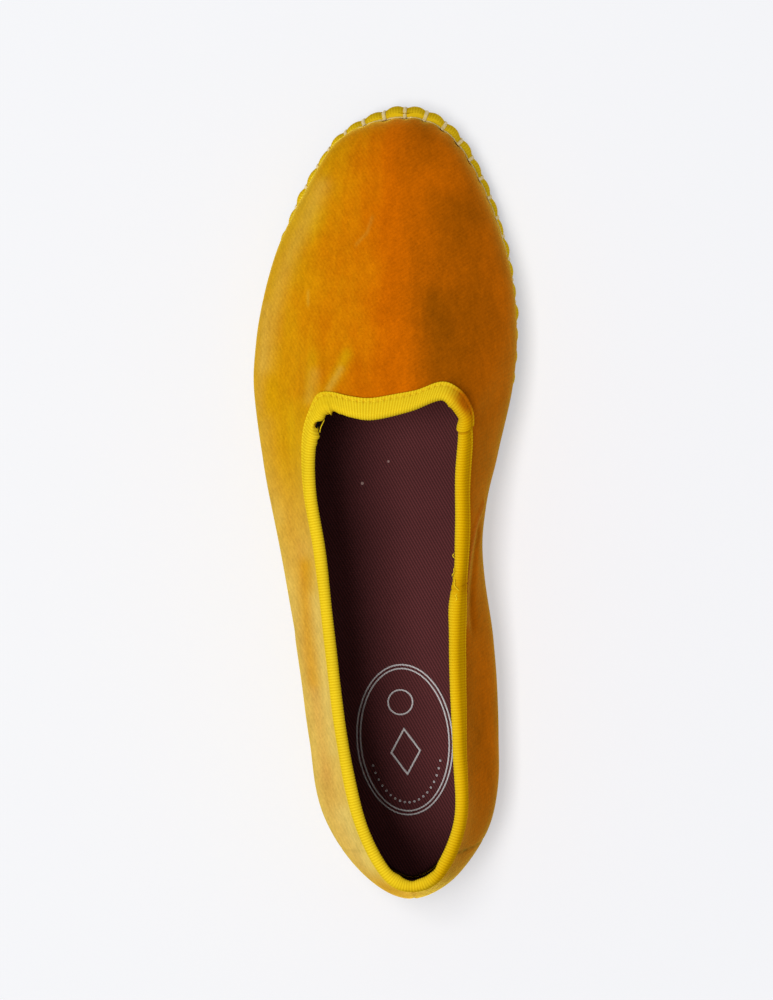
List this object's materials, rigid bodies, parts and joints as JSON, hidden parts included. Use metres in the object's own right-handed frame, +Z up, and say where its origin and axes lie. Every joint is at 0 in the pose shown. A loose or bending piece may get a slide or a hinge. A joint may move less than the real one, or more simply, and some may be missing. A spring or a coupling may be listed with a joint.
{
  "type": "ballet flat",
  "caption": "Left velvet slip-on ballet flat with a ribbon-bound collar, a bow-shaped throat and a flat ribbon-wrapped, whip-stitched sole.",
  "frame": {"origin": "on the floor under the middle of the shoe's outline", "axes": "+Y along the shoe towards the toe, +Z up, +X towards the inner (arch) side"},
  "size_m": [0.0836, 0.251, 0.0676],
  "materials": {
    "sole_rubber": "matte, fine tread",
    "sole_ribbon": "ribbed yellow ribbon over a core",
    "insole_twill": "burgundy twill",
    "velvet": "short-pile mustard velvet",
    "collar_ribbon": "yellow grosgrain ribbon"
  },
  "bodies": {
    "root": {"outsole": "sole_rubber", "midsole": "sole_ribbon", "insole": "insole_twill", "upper": "velvet", "collar_binding": "collar_ribbon"}
  },
  "joints": []
}
